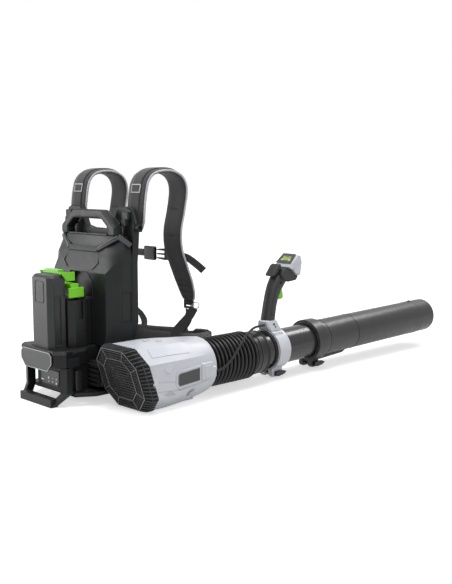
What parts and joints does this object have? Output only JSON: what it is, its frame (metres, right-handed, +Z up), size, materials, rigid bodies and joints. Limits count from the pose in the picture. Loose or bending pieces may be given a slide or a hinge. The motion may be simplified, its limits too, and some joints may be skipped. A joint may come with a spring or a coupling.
{
  "type": "backpack leaf blower",
  "caption": "Battery backpack leaf blower standing on the ground, with a fan beside the pack, flexible hose, control handle on the tube and telescoping nozzle.",
  "frame": {"origin": "under the middle of the pack on the ground, on the base's central keel", "axes": "+X to the wearer's right, where the fan is; +Y the wearer's forward, along the tube; +Z up"},
  "size_m": [0.476, 1.4329, 0.6056],
  "materials": {
    "base_tray": "fine moulded texture",
    "base_housing": "fine moulded texture",
    "label_plate": "satin",
    "control_panel": "satin moulded",
    "motor_controller": "as cast",
    "bumper_loop": "fine moulded texture",
    "battery_port": "satin moulded",
    "terminal_block": "moulded",
    "pack_cover": "fine moulded texture",
    "back_frame": "satin moulded",
    "carry_handle": "fine moulded texture",
    "isolator_block": "moulded",
    "fan_bracket": "fine moulded texture",
    "fan_housing": "satin moulded",
    "intake_rim": "fine moulded texture",
    "intake_grille": "fine moulded texture",
    "fan_duct": "moulded",
    "motor_stator": "wound copper",
    "back_pad": "woven",
    "lumbar_pad": "woven",
    "shoulder_strap_right": "woven",
    "shoulder_strap_left": "woven",
    "strap_adjuster_right": "fine moulded texture",
    "strap_adjuster_left": "fine moulded texture",
    "lower_webbing_right": "woven",
    "lower_webbing_left": "woven",
    "hip_wing_right": "woven",
    "hip_wing_left": "woven",
    "hip_buckle_male": "fine moulded texture",
    "hip_buckle_female": "fine moulded texture",
    "chest_webbing_right": "woven",
    "chest_webbing_left": "woven",
    "chest_buckle_male": "fine moulded texture",
    "chest_buckle_female": "fine moulded texture",
    "control_cable": "moulded",
    "fan_rotor": "satin moulded",
    "motor_shaft": "ground",
    "flex_hose": "moulded",
    "hose_cuff": "moulded",
    "blow_tube": "glossy",
    "tube_seal": "moulded",
    "handle_clamp": "satin moulded",
    "grip": "fine moulded texture",
    "head_cover": "satin moulded",
    "display": "glossy screen",
    "clamp_lever": "fine moulded texture",
    "trigger": "satin moulded",
    "cruise_lever": "fine moulded texture",
    "mode_button": "satin moulded",
    "nozzle": "fine moulded texture",
    "nozzle_clamp": "fine moulded texture",
    "nozzle_lever": "fine moulded texture",
    "battery": "satin moulded",
    "battery_bail": "satin moulded",
    "release_latch": "satin moulded"
  },
  "bodies": {
    "backpack": {"base_tray": "base_tray", "base_housing": "base_housing", "label_plate": "label_plate", "control_panel": "control_panel", "motor_controller": "motor_controller", "bumper_loop": "bumper_loop", "battery_port": "battery_port", "terminal_block": "terminal_block", "pack_cover": "pack_cover", "back_frame": "back_frame", "carry_handle": "carry_handle", "isolator_block": "isolator_block", "fan_bracket": "fan_bracket", "fan_housing": "fan_housing", "intake_rim": "intake_rim", "intake_grille": "intake_grille", "fan_duct": "fan_duct", "motor_stator": "motor_stator", "back_pad": "back_pad", "lumbar_pad": "lumbar_pad", "shoulder_strap_right": "shoulder_strap_right", "shoulder_strap_left": "shoulder_strap_left", "strap_adjuster_right": "strap_adjuster_right", "strap_adjuster_left": "strap_adjuster_left", "lower_webbing_right": "lower_webbing_right", "lower_webbing_left": "lower_webbing_left", "hip_wing_right": "hip_wing_right", "hip_wing_left": "hip_wing_left", "hip_buckle_male": "hip_buckle_male", "hip_buckle_female": "hip_buckle_female", "chest_webbing_right": "chest_webbing_right", "chest_webbing_left": "chest_webbing_left", "chest_buckle_male": "chest_buckle_male", "chest_buckle_female": "chest_buckle_female", "control_cable": "control_cable"},
    "fan": {"fan_rotor": "fan_rotor", "motor_shaft": "motor_shaft"},
    "hose": {"flex_hose": "flex_hose"},
    "cuff": {"hose_cuff": "hose_cuff"},
    "tube": {"blow_tube": "blow_tube", "tube_seal": "tube_seal"},
    "handle": {"handle_clamp": "handle_clamp", "grip": "grip", "head_cover": "head_cover", "display": "display"},
    "handle_lock": {"clamp_lever": "clamp_lever"},
    "throttle": {"trigger": "trigger"},
    "cruise": {"cruise_lever": "cruise_lever"},
    "button": {"mode_button": "mode_button"},
    "outlet": {"nozzle": "nozzle", "nozzle_clamp": "nozzle_clamp"},
    "outlet_lock": {"nozzle_lever": "nozzle_lever"},
    "power": {"battery": "battery"},
    "bail": {"battery_bail": "battery_bail"},
    "latch": {"release_latch": "release_latch"}
  },
  "joints": [
    {"name": "fan_spin", "type": "hinge", "parent": "backpack", "child": "fan", "pos_m": [0.22, 0.018, 0.083], "axis": [0, 1, 0], "continuous": true},
    {"name": "tube_swing", "type": "hinge", "parent": "backpack", "child": "hose", "pos_m": [0.22, 0.262, 0.083], "axis": [0, 0, 1], "range_deg": [-25, 25], "deforming": ["flex_hose", "control_cable"]},
    {"name": "tube_tilt", "type": "hinge", "parent": "hose", "child": "cuff", "pos_m": [0.22, 0.345, 0.083], "axis": [1, 0, 0], "range_deg": [-40, 35], "deforming": ["flex_hose", "control_cable"]},
    {"name": "tube_swivel", "type": "hinge", "parent": "cuff", "child": "tube", "pos_m": [0.22, 0.345, 0.083], "axis": [0, 0.9998, 0.0201], "range_deg": [-40, 40], "deforming": ["control_cable"]},
    {"name": "handle_slide", "type": "slide", "parent": "tube", "child": "handle", "axis": [0, 0.9998, 0.0201], "range_m": [0, 0.08], "deforming": ["control_cable"]},
    {"name": "clamp_lever_turn", "type": "hinge", "parent": "handle", "child": "handle_lock", "pos_m": [0.22, 0.49338, 0.01596], "axis": [-1, 0, 0], "range_deg": [0, 100]},
    {"name": "trigger_pull", "type": "hinge", "parent": "handle", "child": "throttle", "pos_m": [0.22, 0.527, 0.2685], "axis": [-1, 0, 0], "range_deg": [0, 12], "stiffness_Nm_per_rad": 0.3, "springref_deg": -5.73},
    {"name": "cruise_turn", "type": "hinge", "parent": "handle", "child": "cruise", "pos_m": [0.22, 0.5205, 0.3245], "axis": [-1, 0, 0], "range_deg": [0, 35]},
    {"name": "button_press", "type": "slide", "parent": "handle", "child": "button", "axis": [0, 0.6548, -0.7558], "range_m": [0, 0.0009], "stiffness_N_per_m": 400},
    {"name": "nozzle_slide", "type": "slide", "parent": "tube", "child": "outlet", "axis": [0, 0.9998, 0.0201], "range_m": [0, 0.09]},
    {"name": "nozzle_lever_turn", "type": "hinge", "parent": "outlet", "child": "outlet_lock", "pos_m": [0.22, 0.66785, 0.01897], "axis": [-1, 0, 0], "range_deg": [0, 100]},
    {"name": "battery_lift", "type": "slide", "parent": "backpack", "child": "power", "axis": [0, 0, 1], "range_m": [0, 0.2]},
    {"name": "bail_turn", "type": "hinge", "parent": "power", "child": "bail", "pos_m": [0, -0.07, 0.3225], "axis": [-1, 0, 0], "range_deg": [0, 80]},
    {"name": "latch_press", "type": "hinge", "parent": "backpack", "child": "latch", "pos_m": [0, -0.045, 0.278], "axis": [-1, 0, 0], "range_deg": [0, 12], "stiffness_Nm_per_rad": 0.6, "springref_deg": -8.59}
  ]
}
